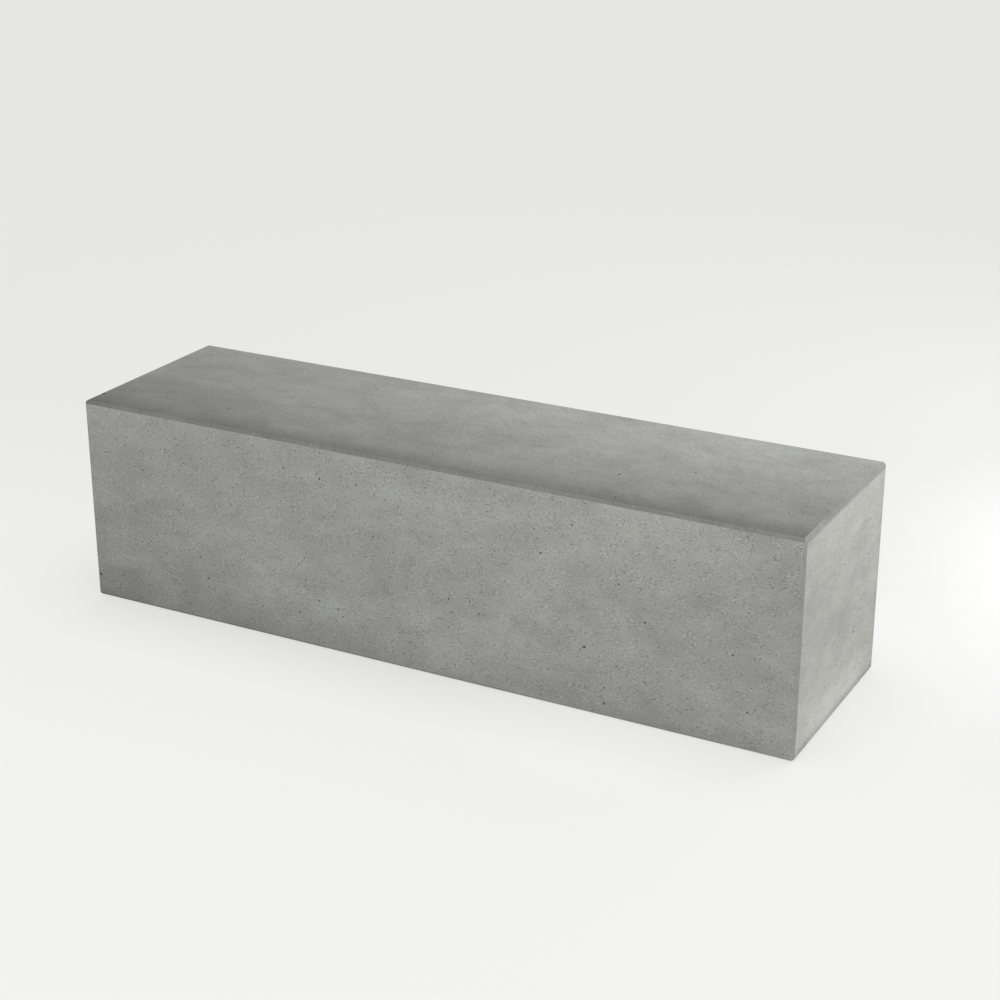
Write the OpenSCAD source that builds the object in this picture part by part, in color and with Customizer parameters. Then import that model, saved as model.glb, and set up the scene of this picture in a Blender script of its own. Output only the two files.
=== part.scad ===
// Backless bench: one precast concrete block, cast seat-down round a tied steel cage.
// Origin at the centre of the underside, X along the bench, -Y to the front, Z up.

/* [Block] */
// Length of the bench
bench_length = 1800; // [1200:10:2400]
// Depth of the bench from front to back
bench_depth = 500; // [400:5:700]
// Height of the seat above the ground
bench_height = 500; // [400:5:600]
// Leg of the flat chamfer along every arris
arris_chamfer = 7; // [3:0.5:20]

/* [Links] */
// Diameter of the bar that a link is bent from
link_d = 8; // [6:1:12]
// Number of links along the bench
link_count = 9; // [5:1:13]
// Concrete cover outside the links
link_cover = 40; // [30:1:55]
// Distance from an end face to the nearest link
link_end = 100; // [70:5:150]
// Inside radius of a link's bends
link_bend = 16; // [14:1:30]

/* [Main bars] */
// Diameter of a main bar
main_bar_d = 10; // [8:1:16]
// Concrete cover at the ends of the main bars
main_bar_end_cover = 40; // [30:1:60]
// Gap between a main bar and the links that it is tied to
main_bar_gap = 0.5; // [0.3:0.1:1]

/* [Tie wires] */
// Diameter of the annealed tie wire
tie_wire_d = 1.2; // [0.9:0.1:2]
// Slack between a tie and the bars that it holds
tie_slack = 0.2; // [0.1:0.1:1]
// Length of a tie's twisted tail
tie_tail = 15; // [8:1:25]

/* [Cover spacers] */
// Thickness of a wheel spacer along the link that it clips to
spacer_t = 12; // [8:1:20]
// Wall of the spacer's rim
spacer_rim = 4; // [3:0.5:6]
// Wall of the spacer's hub
spacer_hub = 4; // [3:0.5:6]
// Number of spokes
spacer_spokes = 4; // [3:1:6]
// Width of a spoke
spacer_spoke_w = 4; // [3:0.5:6]
// Width of the slot that lets the spacer clip on
spacer_slot_w = 6; // [4:0.5:7]
// Slack between the hub and its link
spacer_slack = 0.3; // [0.2:0.1:0.5]
// Skin of concrete between the rim and the block's face
spacer_skin = 1; // [0.5:0.5:3]
// Spacers sit on one link in every so many
spacer_every = 3; // [2:1:4]

/* [Anchor sockets] */
// Outside diameter of a cast-in anchor socket
socket_d = 22; // [20:1:30]
// Bore of the socket, at the tapping size of its thread
socket_bore_d = 14; // [10:0.1:17.5]
// Distance from a long face to the axis of a socket
socket_side = 125; // [90:5:160]
// Bay between two links, counted from each end, that holds the sockets
socket_bay = 2; // [1:1:2]
// Solid steel between the threaded bore and the cross hole
socket_web = 12.5; // [8:0.5:20]
// Length of the socket above the axis of its cross hole
socket_head = 16; // [12:1:30]

/* [Socket tail bars] */
// Diameter of the tail bar through a socket's cross hole
tail_bar_d = 12; // [8:1:16]
// Length of a tail bar
tail_bar_length = 300; // [200:10:500]
// Clearance round the tail bar in the cross hole
tail_bar_gap = 0.5; // [0.2:0.1:1]
// Height of the tail bars above the links that they cross
tail_bar_lift = 15; // [10:1:40]

/* [Hidden] */
$fn = 48;
// Overrun of a cut past the surface that it opens
cut_past = 1;

half_depth = bench_depth / 2;
half_height = bench_height / 2;

// Centre line of a link, with its bends
link_w = bench_depth - 2 * link_cover - link_d;
link_h = bench_height - 2 * link_cover - link_d;
link_bend_mid = link_bend + link_d / 2;
link_pitch = (bench_length - 2 * link_end) / (link_count - 1);

// The way from the bench's axis to each main bar: across the depth, then up
bar_sides = [[1, 0], [1, 1], [0, 1], [-1, 1], [-1, 0], [-1, -1], [0, -1], [1, -1]];
bar_names = ["back", "back_top", "top", "front_top", "front", "front_bottom", "bottom", "back_bottom"];
main_bar_length = bench_length - 2 * main_bar_end_cover;

// A tie goes round a link and a main bar that cross, in a plane at 45 degrees to both
tie_stack = link_d + main_bar_gap + main_bar_d;
tie_reach = max(crossing_reach(link_d / 2), crossing_reach(main_bar_d / 2));
tie_inside = tie_reach + tie_wire_d / 2 + tie_slack;

spacer_r = link_cover + link_d / 2 - spacer_skin;
spacer_hub_r = link_d / 2 + spacer_slack + spacer_hub;

// Sockets: along the bench, then across it
socket_corners = [[-1, -1], [1, -1], [-1, 1], [1, 1]];
socket_names = ["front_left", "front_right", "back_left", "back_right"];
socket_x = bench_length / 2 - link_end - (socket_bay - 0.5) * link_pitch;
socket_y = half_depth - socket_side;
tail_bar_z = link_cover + link_d + tail_bar_lift + tail_bar_d / 2;
socket_thread = tail_bar_z - tail_bar_d / 2 - tail_bar_gap - socket_web;
socket_length = tail_bar_z + socket_head;

function main_bar_node(i) = str("main_bar_", bar_names[i]);
function link_node(i) = str("link_", i + 1);
function anchor_socket_node(i) = str("anchor_socket_", socket_names[i]);
function socket_tail_bar_node(i) = str("socket_tail_bar_", socket_names[i]);

function is_corner(side) = side[0] != 0 && side[1] != 0;
function link_x(i) = -bench_length / 2 + link_end + i * link_pitch;
function carries_spacers(i) = i % spacer_every == 1;

// How far a bar of radius r reaches from the centre of its tie, in the tie's own plane
function crossing_reach(r) =
    let (off = tie_stack / 2 - r)
    off < r ? sqrt(2 * (r * r + off * off)) : off + r;

// Across-and-up place of a point that lies `depth` inside the outer face of the links,
// on the way to a main bar: square to a straight leg, or through the centre of a bend
function in_cage(side, depth) =
    let (half = [half_depth - link_cover, half_height - link_cover])
    let (bend = link_bend + link_d)
    let (inset = is_corner(side) ? bend - (bend - depth) / sqrt(2) : depth)
    [side[0] * (half[0] - inset), half_height + side[1] * (half[1] - inset)];

// Rectangle with its corners cut off at 45 degrees
module chamfered_rectangle(w, h) {
    x = w / 2;
    y = h / 2;
    c = arris_chamfer;
    polygon([
        [x - c, -y], [x, -y + c], [x, y - c], [x - c, y],
        [-x + c, y], [-x, y - c], [-x, -y + c], [-x + c, -y]
    ]);
}

// Block with every arris chamfered, and the chamfers mitred at the corners
module chamfered_block() {
    translate([0, 0, half_height])
        intersection() {
            linear_extrude(height = bench_height, center = true)
                chamfered_rectangle(bench_length, bench_depth);
            rotate([90, 0, 0])
                linear_extrude(height = bench_depth, center = true)
                    chamfered_rectangle(bench_length, bench_height);
            rotate([90, 0, 90])
                linear_extrude(height = bench_length, center = true)
                    chamfered_rectangle(bench_depth, bench_height);
        }
}

module rod_along_x(d, length) {
    rotate([0, 90, 0])
        cylinder(d = d, h = length, center = true);
}

module main_bar(i) {
    place = in_cage(bar_sides[i], link_d + main_bar_gap + main_bar_d / 2);
    color("#7d5a45")
        translate([0, place[0], place[1]])
            rod_along_x(main_bar_d, main_bar_length);
}

// Closed link: four straight legs and four bends
module link(i) {
    leg_w = link_w - 2 * link_bend_mid;
    leg_h = link_h - 2 * link_bend_mid;
    color("#8a624a")
        translate([link_x(i), 0, half_height])
            rotate([90, 0, 90]) {
                for (s = [-1, 1]) {
                    translate([0, s * link_h / 2, 0])
                        rod_along_x(link_d, leg_w);
                    translate([s * link_w / 2, 0, 0])
                        rotate([0, 0, 90])
                            rod_along_x(link_d, leg_h);
                }
                for (turn = [0 : 3])
                    translate([
                        (turn == 0 || turn == 3 ? 1 : -1) * leg_w / 2,
                        (turn < 2 ? 1 : -1) * leg_h / 2,
                        0
                    ])
                        rotate([0, 0, 90 * turn])
                            rotate_extrude(angle = 90)
                                translate([link_bend_mid, 0])
                                    circle(d = link_d);
            }
}

// Loop of wire round one crossing, with its two ends twisted into a tail
module tie(lean) {
    rotate([90, 0, 45 * lean])
        linear_extrude(height = tie_wire_d, center = true) {
            difference() {
                circle(r = tie_inside + tie_wire_d);
                circle(r = tie_inside);
            }
            translate([-tie_wire_d, -tie_inside - tie_wire_d / 2 - tie_tail])
                square([2 * tie_wire_d, tie_tail]);
        }
}

module tie_wires() {
    color("#4a4644")
        for (i = [0 : link_count - 1])
            for (j = [0 : len(bar_sides) - 1]) {
                side = bar_sides[j];
                place = in_cage(side, tie_stack / 2);
                translate([link_x(i), place[0], place[1]])
                    rotate([atan2(side[1], side[0]) - 90, 0, 0])
                        tie((i + j) % 2 == 0 ? 1 : -1);
            }
}

// Plastic wheel that clips round a link and keeps it off the mould
module wheel_spacer() {
    rotate([0, 90, 0])
        linear_extrude(height = spacer_t, center = true)
            difference() {
                union() {
                    difference() {
                        circle(r = spacer_r);
                        circle(r = spacer_r - spacer_rim);
                    }
                    circle(r = spacer_hub_r);
                    for (k = [0 : spacer_spokes - 1])
                        rotate(k * 360 / spacer_spokes)
                            translate([0, -spacer_spoke_w / 2])
                                square([spacer_r - spacer_rim / 2, spacer_spoke_w]);
                }
                circle(d = link_d + 2 * spacer_slack);
                rotate(180 / spacer_spokes)
                    translate([0, -spacer_slot_w / 2])
                        square([spacer_r + cut_past, spacer_slot_w]);
            }
}

// Two wheels on the seat leg and on each upright leg, halfway between the main bars
module cover_spacers() {
    quarter_w = in_cage([1, 1], link_d + main_bar_gap + main_bar_d / 2)[0] / 2;
    quarter_h = (in_cage([1, 1], link_d + main_bar_gap + main_bar_d / 2)[1] - half_height) / 2;
    color("#3f4650")
        for (i = [0 : link_count - 1])
            if (carries_spacers(i))
                translate([link_x(i), 0, half_height])
                    for (s = [-1, 1]) {
                        translate([0, s * quarter_w, link_h / 2])
                            rotate([0, 0, 90])
                                wheel_spacer();
                        for (leg = [-1, 1])
                            translate([0, leg * link_w / 2, s * quarter_h])
                                rotate([0, 90, 0])
                                    wheel_spacer();
                    }
}

module at_socket(i) {
    translate([socket_corners[i][0] * socket_x, socket_corners[i][1] * socket_y, 0])
        children();
}

module socket_envelope() {
    cylinder(d = socket_d, h = socket_length);
}

// Steel socket with its mouth flush with the underside, and a cross hole near its head
module anchor_socket(i) {
    color("#b3b7b8")
        at_socket(i)
            difference() {
                socket_envelope();
                translate([0, 0, -cut_past])
                    cylinder(d = socket_bore_d, h = socket_thread + cut_past);
                translate([0, 0, tail_bar_z])
                    rod_along_x(tail_bar_d + 2 * tail_bar_gap, socket_d + 2 * cut_past);
            }
}

module socket_tail_bar(i) {
    color("#7d5a45")
        at_socket(i)
            translate([0, 0, tail_bar_z])
                rod_along_x(tail_bar_d, tail_bar_length);
}

// The concrete fills the block and leaves out all that it is cast round
module concrete_body() {
    color("#9a9c96")
        difference() {
            chamfered_block();
            for (i = [0 : len(bar_sides) - 1])
                main_bar(i);
            for (i = [0 : link_count - 1])
                link(i);
            tie_wires();
            cover_spacers();
            for (i = [0 : len(socket_corners) - 1]) {
                at_socket(i)
                    socket_envelope();
                socket_tail_bar(i);
            }
        }
}

concrete_body();
for (i = [0 : len(bar_sides) - 1])
    main_bar(i);
for (i = [0 : link_count - 1])
    link(i);
tie_wires();
cover_spacers();
for (i = [0 : len(socket_corners) - 1]) {
    anchor_socket(i);
    socket_tail_bar(i);
}
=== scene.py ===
import math
import random

import bpy
from mathutils import Matrix, Vector


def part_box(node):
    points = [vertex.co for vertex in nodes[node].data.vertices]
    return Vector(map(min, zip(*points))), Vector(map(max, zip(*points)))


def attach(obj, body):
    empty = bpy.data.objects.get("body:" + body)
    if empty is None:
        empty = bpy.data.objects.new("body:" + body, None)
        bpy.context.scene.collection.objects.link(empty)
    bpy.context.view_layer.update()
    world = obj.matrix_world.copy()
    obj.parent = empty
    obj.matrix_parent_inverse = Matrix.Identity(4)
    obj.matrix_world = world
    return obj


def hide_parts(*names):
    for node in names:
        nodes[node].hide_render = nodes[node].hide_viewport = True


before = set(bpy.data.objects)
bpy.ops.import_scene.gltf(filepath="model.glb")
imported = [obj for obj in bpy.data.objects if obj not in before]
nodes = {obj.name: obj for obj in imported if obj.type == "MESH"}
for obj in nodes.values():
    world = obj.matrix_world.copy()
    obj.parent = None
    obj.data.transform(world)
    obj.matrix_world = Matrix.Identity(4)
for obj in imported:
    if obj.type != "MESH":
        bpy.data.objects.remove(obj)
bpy.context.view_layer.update()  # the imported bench, every piece in metres in the bench's own frame
blockLow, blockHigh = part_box("concrete_body")
blockSize = blockHigh - blockLow
blockMiddle = (blockHigh + blockLow) / 2
print("frame:", len(nodes), "pieces, block", [round(side, 3) for side in blockSize])


# Camera, at the photographed viewpoint

view = {
    "place": (2.1418, -3.8584, 2.0862),  # from the middle of the bench's foot
    "turn": 28.127,  # degrees round to the right of the bench's front
    "dip": 21.723,  # degrees that it looks down
    "lens": 74.467,  # mm
    "sensor": 36.0,  # mm
}


def addCamera():
    tilt = (math.radians(90 - view["dip"]), 0, math.radians(view["turn"]))
    bpy.ops.object.camera_add(location=view["place"], rotation=tilt)
    camera = bpy.context.object
    camera.data.lens = view["lens"]
    camera.data.sensor_width = view["sensor"]
    bpy.context.scene.camera = camera


addCamera()
print("camera placed")


# Small helpers for node trees and for modelling

noiseSpan = (0.3, 0.7)  # where nearly all values of a noise lie


def startMaterial(name):
    material = bpy.data.materials.new(name)
    material.use_nodes = True
    return material, material.node_tree, material.node_tree.nodes["Principled BSDF"]


def addNode(tree, kind, inputs, **settings):
    node = tree.nodes.new("ShaderNode" + kind)
    for key, value in settings.items():
        setattr(node, key, value)
    for key, value in inputs.items():
        if isinstance(value, bpy.types.NodeSocket):
            tree.links.new(value, node.inputs[key])
        else:
            node.inputs[key].default_value = value
    return node


def ownPlace(tree):
    return addNode(tree, "TexCoord", {}).outputs["Object"]


def stretched(tree, place, scale, shift=(0, 0, 0)):
    inputs = {"Vector": place, "Scale": scale, "Location": shift}
    return addNode(tree, "Mapping", inputs).outputs["Vector"]


def noise(tree, place, scale, detail=2.0, roughness=0.5):
    inputs = {"Vector": place, "Scale": scale, "Detail": detail, "Roughness": roughness}
    return addNode(tree, "TexNoise", inputs).outputs["Fac"]


def remap(tree, value, low, high, newLow, newHigh, curve="LINEAR", limited=True):
    inputs = {"Value": value, "From Min": low, "From Max": high, "To Min": newLow, "To Max": newHigh}
    return addNode(tree, "MapRange", inputs, interpolation_type=curve, clamp=limited).outputs["Result"]


def combine(tree, operation, first, second):
    return addNode(tree, "Math", {0: first, 1: second}, operation=operation).outputs["Value"]


def product(tree, value, *factors):
    for factor in factors:
        value = combine(tree, "MULTIPLY", value, factor)
    return value


def tinted(tree, colour, tone):
    return addNode(tree, "VectorMath", {0: colour, "Scale": tone}, operation="SCALE").outputs["Vector"]


def mixed(tree, factor, first, second):
    return addNode(tree, "Mix", {0: factor, 2: first, 3: second}).outputs[0]


def mixedVector(tree, factor, first, second):
    inputs = {0: factor, 4: first, 5: second}
    return addNode(tree, "Mix", inputs, data_type="VECTOR").outputs[1]


def blended(tree, factor, first, second):
    inputs = {0: factor, 6: first, 7: second}
    return addNode(tree, "Mix", inputs, data_type="RGBA").outputs[2]


def bumped(tree, height, distance, below=None):
    inputs = {"Height": height, "Distance": distance, "Strength": 1.0}
    if below is not None:
        inputs["Normal"] = below
    return addNode(tree, "Bump", inputs).outputs["Normal"]


def split(tree, vector):
    return addNode(tree, "SeparateXYZ", {"Vector": vector}).outputs


def connect(tree, shader, **sockets):
    for name, socket in sockets.items():
        tree.links.new(socket, shader.inputs[name.replace("_", " ")])


def makeActive(piece):
    bpy.ops.object.select_all(action="DESELECT")
    piece.select_set(True)
    bpy.context.view_layer.objects.active = piece


def selectFaces(piece, test):
    bpy.ops.object.mode_set(mode="EDIT")
    bpy.ops.mesh.select_mode(type="FACE")
    bpy.ops.mesh.select_all(action="DESELECT")
    bpy.ops.object.mode_set(mode="OBJECT")
    for face in piece.data.polygons:
        face.select = test(face)
    bpy.ops.object.mode_set(mode="EDIT")


def copyAt(piece, matrix):
    twin = piece.copy()
    twin.data = piece.data.copy()
    twin.matrix_world = matrix
    bpy.context.collection.objects.link(twin)
    return twin


def joinAll(pieces, name):
    bpy.ops.object.select_all(action="DESELECT")
    for piece in pieces:
        piece.select_set(True)
    bpy.context.view_layer.objects.active = pieces[0]
    bpy.ops.object.join()
    joined = bpy.context.object
    joined.name = name
    bpy.ops.object.transform_apply(location=True, rotation=True, scale=True)
    return joined


def cutAway(piece, cutter):
    makeActive(piece)
    cut = piece.modifiers.new("cut", "BOOLEAN")
    cut.operation = "DIFFERENCE"
    cut.solver = "MANIFOLD"
    cut.object = cutter
    bpy.ops.object.modifier_apply(modifier=cut.name)
    bpy.data.objects.remove(cutter)


# Concrete: pale grey fair face, cloudy, sandy, with painted shade along the seat's front and the foot

concreteLook = {
    "grey": (0.3325, 0.3375, 0.3155),
    "drawn": (0.66, 1.0, 1.05),  # how the mottles are drawn out along a face
    "seatDrawn": (0.60, 1.0, 0.80),
    "endDrawn": (0.48, 1.0, 1.05),
    "mottleScale": 22.0,  # per metre
    "mottleTone": (0.925, 1.075),
    "speckScale": 90.0,
    "speckTone": (0.98, 1.02),
    "patchScale": 40.0,  # patches where the sand shows through the paste
    "patchFrom": (0.40, 0.60),
    "patchShare": (0.30, 1.27),
    "seatShare": 0.65,  # the seat is rubbed smoother
    "rimShare": 0.35,
    "endShare": 0.57,
    "grainScale": 390.0,
    "grainTone": (0.858, 1.142),
    "dimpleScale": 240.0,  # small dimples all over the skin
    "dimpleTone": (1.075, 0.905),
    "pitFrom": (0.65, 0.69),  # the deepest of them
    "pitTone": 0.83,
    "paleFrom": (0.40, 0.30),  # pale sand grains between the dimples
    "paleTone": 1.05,
    "dimpleDepth": 0.35,  # share of the sand's height
    "sandHeight": 0.0008,
    "waveScale": 45.0,
    "waveHeight": 0.0018,
    "roughness": (0.74, 0.92),
    "specular": 0.3,
}

# How far a face's normal points up, or to an end, where it starts to count as one of these and where it
# fully does
faceTurns = {
    "seat": (0.3, 0.6),  # upward, with the seat's arrises
    "flat": (0.75, 0.95),  # upward, without them
    "rim": (0.3, 0.45),  # towards an end, with its arrises
    "end": (0.8, 0.95),  # towards an end, without them
    "sole": (-0.3, -0.6),  # downward, the underside and its arrises
}

# Painted shade inside the pores, a dark grey standing in for the shade in their hollows, and the bare
# concrete of the chips
poreShadeAndChipLook = {
    "poreShadeGrey": (0.115, 0.113, 0.102),
    "chipGrey": (0.25, 0.25, 0.231),
    "grainScale": 390.0,
    "grainTone": (0.8, 1.2),
    "grainHeight": 0.0004,
    "roughness": 0.95,
    "specular": 0.2,
}

# Clouds in the concrete, drawn out along the mould and laid over the seat as over the front
clouds = {
    "broad": {
        "stretch": (0.82, 1.0, 1.16),
        "scale": 2.11,
        "shift": (44.93, 38.45, 40.43),
        "tone": (0.908, 1.040),
    },
    "middle": {
        "stretch": (0.79, 1.0, 1.35),
        "scale": 4.60,
        "shift": (46.25, 59.90, 29.58),
        "tone": (0.962, 1.050),
    },
    "small": {
        "stretch": (0.64, 1.0, 1.02),
        "scale": 6.98,
        "shift": (20.72, 49.99, 11.30),
        "tone": (0.970, 1.028),
    },
}
endSlide = (7.52, 24.29)  # how far along and into the clouds the two ends lie
endContrast = 1.4  # how much stronger they show there

# Darker and paler bands and rims, mostly painted shade and painted light: a band has its width in from the
# arris and its tone there, a rim only its tone
paintedLightAndShade = {
    "footLeft": (0.14, 0.77),  # painted contact shade up the front and the back from the foot, at the left end
    "footRight": (0.09, 0.92),
    "quickLeft": (0.10, 0.79),  # painted shade: quick fade along the seat's front
    "quickRight": (0.10, 0.71),
    "slowLeft": (0.32, 0.70),  # painted shade: slow fade over the seat
    "slowRight": (0.34, 0.66),
    "seatLine": (0.022, 0.93),  # painted shade: a thin darker line at its front
    "frontRim": (1.38, 1.81),  # painted highlight on the seat's front arris, at the middle and the right
    "frontRimFrom": 0.5,  # share of the length from which it grows paler
    "seatRim": 0.745,  # painted shade on the arrises between the seat and the two ends
    "endRim": 0.85,  # painted shade on the ends' other arrises
    "soleRim": (0.62, 1.18),  # arrises along the foot: painted shade at the left, painted light from the floor at the right
    # painted shade on the ends' arrises along the foot
    "endSole": 0.82,
    "endTop": (0.011, 0.70),  # painted shade: a thin darker line along the top of both ends
    "endBack": (0.055, 0.88),
    "endFoot": (0.12, 1.17),  # paler foot of both ends
    "endBase": (0.030, 0.55),  # and the painted contact shadow under it, a dark line
    "waver": (0.65, 1.5),  # how the bands narrow and widen along the bench
    "waverScale": 11.0,
}


def faceShares(tree):
    normal = split(tree, addNode(tree, "NewGeometry", {}).outputs["Normal"])
    endward = combine(tree, "ABSOLUTE", normal["X"], 0.0)
    turns = {"seat": normal["Z"], "flat": normal["Z"], "rim": endward, "end": endward, "sole": normal["Z"]}
    return {face: remap(tree, turn, *faceTurns[face], 0.0, 1.0) for face, turn in turns.items()}


def cloudPlace(tree, place, shares):
    along, across, up = (split(tree, place)[axis] for axis in "XYZ")
    fromFront = combine(tree, "SUBTRACT", across, blockLow.y)
    slide, sink = endSlide
    endAlong = combine(tree, "ADD", across, slide)
    endInto = combine(tree, "ADD", along, sink)
    into = mixed(tree, shares["seat"], across, blockLow.y)
    inputs = {
        "X": mixed(tree, shares["end"], along, endAlong),
        "Y": mixed(tree, shares["end"], into, endInto),
        "Z": mixed(tree, shares["seat"], up, fromFront),
    }
    return addNode(tree, "CombineXYZ", inputs).outputs["Vector"]


def cloudTone(tree, sheet, shares):
    tone = 1.0
    for cloud in clouds.values():
        moved = stretched(tree, sheet, cloud["stretch"], cloud["shift"])
        layer = noise(tree, moved, cloud["scale"], detail=1.0)
        layerTone = remap(tree, layer, *noiseSpan, *cloud["tone"], limited=False)
        tone = product(tree, layerTone, tone)
    contrast = remap(tree, shares["end"], 0.0, 1.0, 1.0, endContrast)
    return combine(tree, "POWER", tone, contrast)


def skinTone(tree, drawn, sandy, spots):
    look = concreteLook
    grain = noise(tree, drawn, look["grainScale"], detail=1.0)
    mottle = noise(tree, drawn, look["mottleScale"], detail=3.0)
    speck = noise(tree, drawn, look["speckScale"])
    fine = product(
        tree,
        remap(tree, grain, *noiseSpan, *look["grainTone"], limited=False),
        remap(tree, spots, *noiseSpan, *look["dimpleTone"], limited=False),
        remap(tree, spots, *look["pitFrom"], 1.0, look["pitTone"]),
        remap(tree, spots, *look["paleFrom"], 1.0, look["paleTone"]),
    )
    shown = product(tree, combine(tree, "SUBTRACT", fine, 1.0), sandy)
    return product(
        tree,
        combine(tree, "ADD", shown, 1.0),
        remap(tree, mottle, *noiseSpan, *look["mottleTone"], limited=False),
        remap(tree, speck, *noiseSpan, *look["speckTone"], limited=False),
    )


def faded(tree, gap, band, curve="SMOOTHSTEP"):
    width, tone = band
    return remap(tree, gap, 0.0, width, tone, 1.0, curve)


def fadedBySide(tree, gap, band, rightward, curve="SMOOTHSTEP"):
    left = faded(tree, gap, paintedLightAndShade[band + "Left"], curve)
    return mixed(tree, rightward, left, faded(tree, gap, paintedLightAndShade[band + "Right"], curve))


# Painted light and shade as a tone: contact shade at the foot, shade over the seat's front, highlights and
# shade on the arrises
def paintedShadingTone(tree, place, shares):
    along, across, up = (split(tree, place)[axis] for axis in "XYZ")
    rightward = remap(tree, along, blockLow.x, blockHigh.x, 0.0, 1.0)
    waver = remap(tree, noise(tree, place, paintedLightAndShade["waverScale"]), *noiseSpan, *paintedLightAndShade["waver"])
    # painted contact shade up the front and the back from the foot
    fromFoot = combine(tree, "SUBTRACT", up, blockLow.z)
    foot = fadedBySide(tree, product(tree, fromFoot, waver), "foot", rightward)

    fromFront = combine(tree, "SUBTRACT", across, blockLow.y)
    # painted shade over the seat's front
    slow = fadedBySide(tree, fromFront, "slow", rightward, "LINEAR")
    quick = fadedBySide(tree, product(tree, fromFront, waver), "quick", rightward)
    line = faded(tree, fromFront, paintedLightAndShade["seatLine"])
    # painted highlight on the seat's front arris, lifting the painted shade there
    frontRim = remap(tree, rightward, paintedLightAndShade["frontRimFrom"], 1.0, *paintedLightAndShade["frontRim"])
    paintedArrisHighlight = faded(tree, fromFront, (blockSize.y, frontRim), "LINEAR")
    seat = product(tree, slow, quick, line, remap(tree, shares["flat"], 0.0, 1.0, paintedArrisHighlight, 1.0))

    fromTop = combine(tree, "SUBTRACT", blockHigh.z, up)
    fromBack = combine(tree, "SUBTRACT", blockHigh.y, across)
    end = product(
        tree,
        faded(tree, combine(tree, "SUBTRACT", fromTop, block["chamfer"]), paintedLightAndShade["endTop"]),
        faded(tree, fromBack, paintedLightAndShade["endBack"], "LINEAR"),
        faded(tree, fromFoot, paintedLightAndShade["endFoot"]),
        faded(tree, fromFoot, paintedLightAndShade["endBase"], "LINEAR"),
    )

    # painted shade and light on the arrises
    rim = remap(tree, shares["seat"], 0.0, 1.0, paintedLightAndShade["endRim"], paintedLightAndShade["seatRim"])
    rim = mixed(tree, shares["sole"], rim, paintedLightAndShade["endSole"])
    foot = mixed(tree, shares["sole"], foot, remap(tree, rightward, 0.0, 1.0, *paintedLightAndShade["soleRim"]))
    tone = mixed(tree, shares["seat"], foot, seat)
    tone = mixed(tree, shares["rim"], tone, rim)
    return mixed(tree, shares["end"], tone, end)


def makeConcrete():
    look = concreteLook
    material, tree, shader = startMaterial("fairFaceConcrete")
    place = ownPlace(tree)
    shares = faceShares(tree)
    sheet = cloudPlace(tree, place, shares)

    patches = noise(tree, sheet, look["patchScale"], detail=1.0)
    share = 1.0
    for face in ("seat", "rim", "end"):
        share = mixed(tree, shares[face], share, look[face + "Share"])
    sandy = product(tree, remap(tree, patches, *look["patchFrom"], *look["patchShare"]), share)
    scale = look["drawn"]
    for face in ("seat", "end"):
        scale = mixedVector(tree, shares[face], scale, look[face + "Drawn"])
    drawn = stretched(tree, sheet, scale)
    spots = noise(tree, drawn, look["dimpleScale"], detail=1.0)
    # the colour carries the painted light and shade of the arrises, the seat and the foot
    tone = product(
        tree,
        cloudTone(tree, sheet, shares),
        paintedShadingTone(tree, place, shares),
        skinTone(tree, drawn, sandy, spots),
    )

    sand = noise(tree, drawn, look["grainScale"], detail=2.0, roughness=0.6)
    dimples = remap(tree, spots, *look["pitFrom"], 0.0, look["dimpleDepth"])
    skin = combine(tree, "SUBTRACT", product(tree, sand, sandy), dimples)
    waves = bumped(tree, noise(tree, drawn, look["waveScale"]), look["waveHeight"])
    gloss = noise(tree, place, look["mottleScale"], detail=3.0)
    connect(
        tree, shader,
        Base_Color=tinted(tree, look["grey"], tone),
        Roughness=remap(tree, gloss, *noiseSpan, *look["roughness"]),
        Normal=bumped(tree, skin, look["sandHeight"], waves),
    )
    shader.inputs["Specular IOR Level"].default_value = look["specular"]
    return material


def makePoreShadeAndChipConcrete(name, grey):
    look = poreShadeAndChipLook
    material, tree, shader = startMaterial(name)
    grain = noise(tree, ownPlace(tree), look["grainScale"])
    colour = tinted(tree, grey, remap(tree, grain, *noiseSpan, *look["grainTone"]))
    connect(tree, shader, Base_Color=colour, Normal=bumped(tree, grain, look["grainHeight"]))
    shader.inputs["Roughness"].default_value = look["roughness"]
    shader.inputs["Specular IOR Level"].default_value = look["specular"]
    return material


# Concrete block

block = {
    "chamfer": 0.007,  # flat cut along every arris
    "cell": 0.1,  # spacing of the cuts across the faces
    "socketGap": 0.0002,  # hairline of paste round each anchor socket
    "socketSides": 48,
    "sliver": 0.00001,  # shortest edge left where the cuts meet
    "skin": 0.0001,  # how far off a face's plane still counts as on it
    "sharpAngle": 35.0,  # degrees
}
cornerRise = block["chamfer"] / (2 * math.sqrt(3))  # from a bevelled corner's middle to the mitre


def addBlock():
    bpy.ops.object.select_all(action="DESELECT")
    bpy.ops.mesh.primitive_cube_add(size=1, location=blockMiddle, scale=blockSize)
    piece = bpy.context.object
    piece.name = "concreteBlock"
    bpy.ops.object.transform_apply(location=True, rotation=True, scale=True)
    bpy.ops.object.mode_set(mode="EDIT")
    bpy.ops.mesh.select_all(action="SELECT")
    bpy.ops.mesh.bevel(offset=block["chamfer"], segments=1, affect="EDGES")
    selectFaces(piece, lambda face: len(face.vertices) == 3)
    bpy.ops.mesh.poke(offset=cornerRise)
    for axis in range(3):
        cells = round(blockSize[axis] / block["cell"])
        for cell in range(1, cells):
            point = Vector(blockMiddle)
            point[axis] = blockLow[axis] + blockSize[axis] * cell / cells
            across = Vector((0, 0, 0))
            across[axis] = 1
            bpy.ops.mesh.select_all(action="SELECT")
            bpy.ops.mesh.bisect(plane_co=point, plane_no=across)
    bpy.ops.object.mode_set(mode="OBJECT")
    return piece


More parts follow.
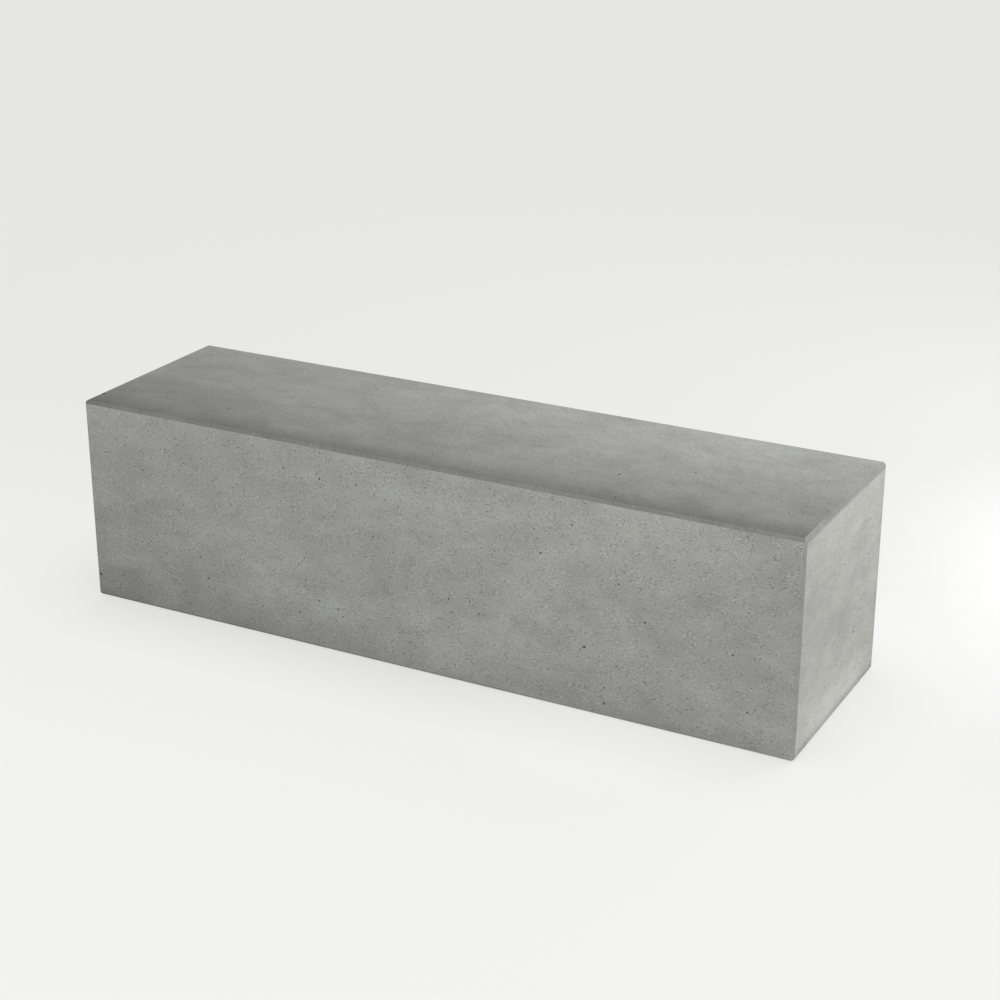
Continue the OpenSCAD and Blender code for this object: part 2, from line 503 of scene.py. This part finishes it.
def addSocketBeds():
    beds = []
    for name in sorted(nodes):
        if not name.startswith("anchor_socket"):
            continue
        low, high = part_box(name)
        reach = block["chamfer"]  # past the underside
        middle = (low + high) / 2 - Vector((0, 0, reach / 2))
        bpy.ops.object.select_all(action="DESELECT")
        bpy.ops.mesh.primitive_cylinder_add(
            vertices=block["socketSides"],
            radius=(high.x - low.x) / 2 + block["socketGap"],
            depth=high.z - low.z + reach,
            location=middle,
        )
        beds.append(bpy.context.object)
    return joinAll(beds, "socketBeds")


# Pores: air bubbles that broke the surface against the mould

pores = {
    "seed": 7,
    "segments": 8,
    "rings": 5,
    "perArea": {"front": 1200, "back": 900, "seat": 300, "right": 300, "left": 300, "under": 150},
    "mouth": (0.0009, 0.0020),  # radius of the smallest and the largest random pore
    "spread": 0.00025,  # how far above the smallest the mean one is
    "gap": 0.002,
    "arrisGap": 0.012,
    "tries": 20,  # for each pore, where the face is crowded
    "depth": (0.7, 1.0),  # share of the mouth's radius
    "sunk": (0.1, 0.4),  # how far the bubble's middle lies under the face, as a share of its depth
    "stretch": (0.85, 1.18),
    "ragged": 0.16,
}

# Largest pits: along and across the face from its lower left corner as seen, and the mouth's radius
largePits = {
    "front": [
        (1.317, 0.156, 0.0034), (0.656, 0.421, 0.0028), (1.457, 0.244, 0.0027), (1.367, 0.032, 0.0027),
        (1.211, 0.353, 0.0026), (0.334, 0.111, 0.0026), (1.395, 0.319, 0.0025), (1.694, 0.091, 0.0025),
        (1.656, 0.214, 0.0025), (0.985, 0.198, 0.0024), (0.560, 0.430, 0.0024), (0.645, 0.120, 0.0023),
        (0.695, 0.110, 0.0024), (0.590, 0.080, 0.0023), (1.061, 0.178, 0.0024), (0.884, 0.068, 0.0023),
        (0.012, 0.056, 0.0036),
    ],
    "seat": [
        (1.320, 0.154, 0.0034), (1.460, 0.242, 0.0026), (1.369, 0.030, 0.0026), (0.337, 0.111, 0.0026),
        (0.012, 0.061, 0.0046),
    ],
    "right": [(0.345, 0.156, 0.0033), (0.253, 0.350, 0.0024), (0.412, 0.315, 0.0024)],
}


def faceFrames():
    x, y, z = Vector((1, 0, 0)), Vector((0, 1, 0)), Vector((0, 0, 1))
    low, high = blockLow, blockHigh
    length, depth, height = blockSize
    return {
        "front": (Vector((low.x, low.y, low.z)), x, z, length, height),
        "back": (Vector((high.x, high.y, low.z)), -x, z, length, height),
        "seat": (Vector((low.x, low.y, high.z)), x, y, length, depth),
        "right": (Vector((high.x, low.y, low.z)), y, z, depth, height),
        "left": (Vector((low.x, high.y, low.z)), -y, z, depth, height),
        "under": (Vector((low.x, high.y, low.z)), x, -y, length, depth),
    }


def addBubble():
    bpy.ops.object.select_all(action="DESELECT")
    bpy.ops.mesh.primitive_uv_sphere_add(segments=pores["segments"], ring_count=pores["rings"], radius=1)
    bubble = bpy.context.object
    bpy.ops.object.mode_set(mode="EDIT")
    bpy.ops.mesh.select_all(action="SELECT")
    bpy.ops.transform.vertex_random(offset=pores["ragged"], seed=pores["seed"])
    bpy.ops.object.mode_set(mode="OBJECT")
    return bubble


def placePores(name, faceFrame, draw):
    width, height = faceFrame[3:]
    margin = pores["arrisGap"]
    placed = list(largePits.get(name, []))
    small, large = pores["mouth"]
    wanted = len(placed) + round(pores["perArea"][name] * width * height)
    tries = 0
    while len(placed) < wanted and tries < pores["tries"] * wanted:
        tries += 1
        u = draw.uniform(margin, width - margin)
        v = draw.uniform(margin, height - margin)
        mouth = min(small + draw.expovariate(1 / pores["spread"]), large)
        room = [math.hypot(u - a, v - b) - mouth - other for a, b, other in placed]
        if min(room, default=math.inf) > pores["gap"]:
            placed.append((u, v, mouth))
    return placed


def poreMatrix(faceFrame, u, v, mouth, draw):
    origin, along, up = faceFrame[:3]
    outward = along.cross(up)
    depth = mouth * draw.uniform(*pores["depth"])
    middle = origin + along * u + up * v - outward * depth * draw.uniform(*pores["sunk"])
    turn = Matrix.Rotation(draw.uniform(0, 2 * math.pi), 4, "Z")
    stretch = draw.uniform(*pores["stretch"])
    size = Matrix.Diagonal((mouth * stretch, mouth / stretch, depth, 1))
    stand = Matrix((along, up, outward)).transposed().to_4x4()
    return Matrix.Translation(middle) @ stand @ turn @ size


def addPores():
    draw = random.Random(pores["seed"])
    bubble = addBubble()
    copies = []
    for name, faceFrame in faceFrames().items():
        for u, v, mouth in placePores(name, faceFrame, draw):
            copies.append(copyAt(bubble, poreMatrix(faceFrame, u, v, mouth, draw)))
    bpy.data.objects.remove(bubble)
    print("pores:", len(copies))
    return joinAll(copies, "poreCutter")


# Chips knocked out of the arrises

chips = {
    "seed": 3,
    "subdivisions": 2,
    "ragged": 0.25,
    "reach": 0.02,  # how far from its place a chip's faces lie at most
    "inset": 1.2,  # and how far in from the second nearest face, in chamfers
    "spots": [  # place on the arris, half length, half width and the arris's direction
        ((blockLow.x, blockHigh.y, 0.31), 0.011, 0.0042, "Z"),
        ((blockHigh.x, blockHigh.y, 0.12), 0.009, 0.0038, "Z"),
        ((0.35, blockHigh.y, blockHigh.z), 0.012, 0.0040, "X"),
        ((-0.62, blockHigh.y, blockLow.z), 0.013, 0.0045, "X"),
        ((blockHigh.x, 0.08, blockLow.z), 0.009, 0.0042, "Y"),
        ((0.55, blockHigh.y, blockLow.z), 0.010, 0.0042, "X"),
    ],
}


def addChips():
    lumps = []
    for count, (place, halfLength, halfWidth, axis) in enumerate(chips["spots"]):
        bpy.ops.object.select_all(action="DESELECT")
        bpy.ops.mesh.primitive_ico_sphere_add(subdivisions=chips["subdivisions"], radius=1)
        lump = bpy.context.object
        bpy.ops.object.mode_set(mode="EDIT")
        bpy.ops.mesh.select_all(action="SELECT")
        bpy.ops.transform.vertex_random(offset=chips["ragged"], seed=chips["seed"] + count)
        bpy.ops.object.mode_set(mode="OBJECT")
        spot = Vector(place)
        size = Vector((halfWidth, halfWidth, halfWidth))
        for index, name in enumerate("XYZ"):
            if name == axis:
                size[index] = halfLength
            else:
                spot[index] -= math.copysign(block["chamfer"] / 2, place[index] - blockMiddle[index])
        lump.matrix_world = Matrix.Translation(spot) @ Matrix.Diagonal((*size, 1))
        lumps.append(lump)
    return joinAll(lumps, "chipCutter")


def blockFinishOf(face):
    x, y, z = face.center
    gaps = sorted((
        min(x - blockLow.x, blockHigh.x - x),
        min(y - blockLow.y, blockHigh.y - y),
        min(z - blockLow.z, blockHigh.z - z),
    ))
    onChamfer = abs(gaps[0] + gaps[1] - block["chamfer"]) < 2 * block["skin"]
    if gaps[0] < block["skin"] or onChamfer:
        return "face"
    nearest = min((Vector(spot[0]) - face.center).length for spot in chips["spots"])
    inChip = nearest < chips["reach"] and gaps[1] < chips["inset"] * block["chamfer"]
    return "chip" if inChip else "pore"


def clearSlivers(piece):
    makeActive(piece)
    bpy.ops.object.mode_set(mode="EDIT")
    bpy.ops.mesh.select_all(action="SELECT")
    bpy.ops.mesh.quads_convert_to_tris(quad_method="BEAUTY", ngon_method="BEAUTY")
    bpy.ops.mesh.dissolve_degenerate(threshold=block["sliver"])
    bpy.ops.object.mode_set(mode="OBJECT")


def finishBlock(piece):
    makeActive(piece)
    piece.data.materials.clear()
    finishes = {
        "face": makeConcrete(),
        # painted shade inside the pores
        "pore": makePoreShadeAndChipConcrete("poreShadeConcrete", poreShadeAndChipLook["poreShadeGrey"]),
        "chip": makePoreShadeAndChipConcrete("chipConcrete", poreShadeAndChipLook["chipGrey"]),
    }
    for index, (finish, material) in enumerate(finishes.items()):
        piece.data.materials.append(material)
        selectFaces(piece, lambda face: blockFinishOf(face) == finish)
        piece.active_material_index = index
        bpy.ops.object.material_slot_assign()
        bpy.ops.object.mode_set(mode="OBJECT")
    bpy.ops.object.shade_smooth_by_angle(angle=math.radians(block["sharpAngle"]))
    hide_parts("concrete_body")
    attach(piece, "root")


concreteBlock = addBlock()
cutAway(concreteBlock, addSocketBeds())
cutAway(concreteBlock, addChips())
cutAway(concreteBlock, addPores())
clearSlivers(concreteBlock)
finishBlock(concreteBlock)
print("concrete block:", len(concreteBlock.data.polygons), "faces")


# Finishes of the pieces cast in

steelLook = {
    "scale": (0.055, 0.047, 0.042),  # mill scale
    "rust": (0.19, 0.075, 0.028),
    "patchScale": 35.0,  # per metre
    "rustFrom": (0.45, 0.62),
    "roughness": (0.45, 0.9),  # of the mill scale and of the rust
    "metallic": (0.8, 0.0),
    "pitScale": 420.0,
    "pitDepth": 0.0002,
}
wireLook = {
    "dark": (0.045, 0.042, 0.040),
    "pale": (0.11, 0.10, 0.095),
    "patchScale": 180.0,
    "roughness": (0.4, 0.65),
    "metallic": 0.9,
}
spacerLook = {
    "grey": (0.19, 0.195, 0.20),
    "mottleScale": 60.0,
    "mottleTone": (0.92, 1.08),
    "grainScale": 900.0,
    "grainHeight": 0.00006,
    "roughness": (0.42, 0.58),
}
zincLook = {
    "zinc": (0.60, 0.62, 0.64),
    "spangleScale": 160.0,
    "spangleTone": (0.86, 1.06),
    "hazeScale": 80.0,
    "hazeHeight": 0.00005,
    "roughness": (0.28, 0.5),
    "metallic": 1.0,
}


def makeBarSteel():
    look = steelLook
    material, tree, shader = startMaterial("barSteel")
    place = ownPlace(tree)
    patches = noise(tree, place, look["patchScale"], detail=4.0, roughness=0.6)
    rust = remap(tree, patches, *look["rustFrom"], 0.0, 1.0)
    connect(
        tree, shader,
        Base_Color=blended(tree, rust, (*look["scale"], 1), (*look["rust"], 1)),
        Roughness=remap(tree, rust, 0.0, 1.0, *look["roughness"]),
        Metallic=remap(tree, rust, 0.0, 1.0, *look["metallic"]),
        Normal=bumped(tree, noise(tree, place, look["pitScale"]), look["pitDepth"]),
    )
    return material


def makeTieWire():
    look = wireLook
    material, tree, shader = startMaterial("annealedWire")
    patches = noise(tree, ownPlace(tree), look["patchScale"])
    connect(
        tree, shader,
        Base_Color=blended(tree, patches, (*look["dark"], 1), (*look["pale"], 1)),
        Roughness=remap(tree, patches, *noiseSpan, *look["roughness"]),
    )
    shader.inputs["Metallic"].default_value = look["metallic"]
    return material


def makeSpacerPlastic():
    look = spacerLook
    material, tree, shader = startMaterial("spacerPlastic")
    place = ownPlace(tree)
    mottle = noise(tree, place, look["mottleScale"])
    grain = noise(tree, place, look["grainScale"])
    connect(
        tree, shader,
        Base_Color=tinted(tree, look["grey"], remap(tree, mottle, *noiseSpan, *look["mottleTone"])),
        Roughness=remap(tree, grain, *noiseSpan, *look["roughness"]),
        Normal=bumped(tree, grain, look["grainHeight"]),
    )
    return material


def makeZincPlate():
    look = zincLook
    material, tree, shader = startMaterial("zincPlate")
    place = ownPlace(tree)
    inputs = {"Vector": place, "Scale": look["spangleScale"]}
    cells = addNode(tree, "TexVoronoi", inputs).outputs["Color"]
    tone = remap(tree, split(tree, cells)["X"], 0.0, 1.0, *look["spangleTone"])
    haze = noise(tree, place, look["hazeScale"], detail=3.0)
    connect(
        tree, shader,
        Base_Color=tinted(tree, look["zinc"], tone),
        Roughness=remap(tree, haze, *noiseSpan, *look["roughness"]),
        Normal=bumped(tree, haze, look["hazeHeight"]),
    )
    shader.inputs["Metallic"].default_value = look["metallic"]
    return material


def finishCastIn():
    barSteel = makeBarSteel()
    finishes = {
        "main_bar": barSteel,
        "link": barSteel,
        "socket_tail_bar": barSteel,
        "tie_wires": makeTieWire(),
        "cover_spacers": makeSpacerPlastic(),
        "anchor_socket": makeZincPlate(),
        "concrete_body": concreteBlock.data.materials[0],
    }
    for name, piece in nodes.items():
        start = next(start for start in finishes if name.startswith(start))
        for materialSlot in piece.material_slots:
            materialSlot.material = finishes[start]


finishCastIn()
print("cast-in pieces finished")


# Floor, lamps and world

floorLook = {
    "size": 400.0,
    "drop": 0.0003,  # just clear of the bench's underside
    "nearTone": (0.906, 0.913, 0.874),
    "farTone": (0.838, 0.837, 0.830),
    "fade": (-0.67, 1.0),  # where the near tone ends and the far one starts
    "glow": 0.9,  # share of the floor's own tone, the rest takes the lamps' light
    "albedo": (0.80, 0.80, 0.775),
    "roughness": 0.9,
    "specular": 0.0,
    "contact": (0.25, 0.27),  # reach and depth of the shadow round the bench's foot
    "patches": [  # place, reach and rise of the light behind the right end and along its foot
        (1.72, 1.10, 1.31, 0.45),
        (0.56, 0.10, 0.75, 0.15),
    ],
}
lamps = {
    "backLamp": {"place": (1.75, 2.25, 1.9), "size": (1.8, 1.8), "watts": 84.0},
    "rightLamp": {"place": (3.0, -0.6, 0.4), "size": (1.8, 0.6), "watts": 13.3},
    "frontLamp": {"place": (0.3, -3.3, 1.7), "size": (5.0, 1.6), "watts": 51.0},
}
worldLook = {"light": 0.50, "shown": (0.826, 0.825, 0.818)}


def seenRay(tree):
    path = addNode(tree, "LightPath", {}).outputs
    seen = combine(tree, "MAXIMUM", path["Is Camera Ray"], path["Is Glossy Ray"])
    return combine(tree, "MAXIMUM", seen, path["Is Transmission Ray"])


def floorTone(tree, place):
    look = floorLook
    farness = remap(tree, split(tree, place)["Y"], *look["fade"], 0.0, 1.0, "SMOOTHSTEP")
    tone = blended(tree, farness, (*look["nearTone"], 1), (*look["farTone"], 1))
    shadowReach, shadowDepth = look["contact"]
    openness = addNode(tree, "AmbientOcclusion", {"Distance": shadowReach}).outputs["AO"]
    shade = remap(tree, openness, 0.0, 1.0, 1 - shadowDepth, 1.0)
    for x, y, reach, rise in look["patches"]:
        inputs = {0: place, 1: (x, y, 0)}
        gap = addNode(tree, "VectorMath", inputs, operation="DISTANCE").outputs["Value"]
        shade = product(tree, shade, remap(tree, gap, 0.0, reach, 1 + rise, 1.0, "SMOOTHSTEP"))
    return tinted(tree, tone, shade)


def addFloor():
    look = floorLook
    bpy.ops.object.select_all(action="DESELECT")
    bpy.ops.mesh.primitive_plane_add(size=look["size"], location=(0, 0, blockLow.z - look["drop"]))
    floor = bpy.context.object
    floor.name = "floor"
    material, tree, shader = startMaterial("paleFloor")
    shader.inputs["Base Color"].default_value = (*look["albedo"], 1)
    shader.inputs["Roughness"].default_value = look["roughness"]
    shader.inputs["Specular IOR Level"].default_value = look["specular"]
    shown = floorTone(tree, ownPlace(tree))
    glow = addNode(tree, "Emission", {"Color": shown, "Strength": 1.0}).outputs["Emission"]
    share = product(tree, seenRay(tree), look["glow"])
    surface = addNode(tree, "MixShader", {0: share, 1: shader.outputs["BSDF"], 2: glow})
    tree.links.new(surface.outputs["Shader"], tree.nodes["Material Output"].inputs["Surface"])
    floor.data.materials.append(material)


def addLamps():
    for name, lamp in lamps.items():
        aim = blockMiddle - Vector(lamp["place"])
        bpy.ops.object.light_add(
            type="AREA",
            location=lamp["place"],
            rotation=aim.to_track_quat("-Z", "Y").to_euler(),
        )
        made = bpy.context.object
        made.name = name
        made.data.shape = "RECTANGLE"
        made.data.size, made.data.size_y = lamp["size"]
        made.data.energy = lamp["watts"]


def addWorld():
    world = bpy.data.worlds.new("studio")
    bpy.context.scene.world = world
    world.use_nodes = True
    tree = world.node_tree
    light = tree.nodes["Background"]
    light.inputs["Color"].default_value = (1, 1, 1, 1)
    light.inputs["Strength"].default_value = worldLook["light"]
    shown = addNode(tree, "Background", {"Color": (*worldLook["shown"], 1), "Strength": 1.0})
    inputs = {0: seenRay(tree), 1: light.outputs["Background"], 2: shown.outputs["Background"]}
    surface = addNode(tree, "MixShader", inputs)
    tree.links.new(surface.outputs["Shader"], tree.nodes["World Output"].inputs["Surface"])


addFloor()
addLamps()
addWorld()
bpy.context.scene.view_settings.view_transform = "Standard"
print("floor, lamps and world added")
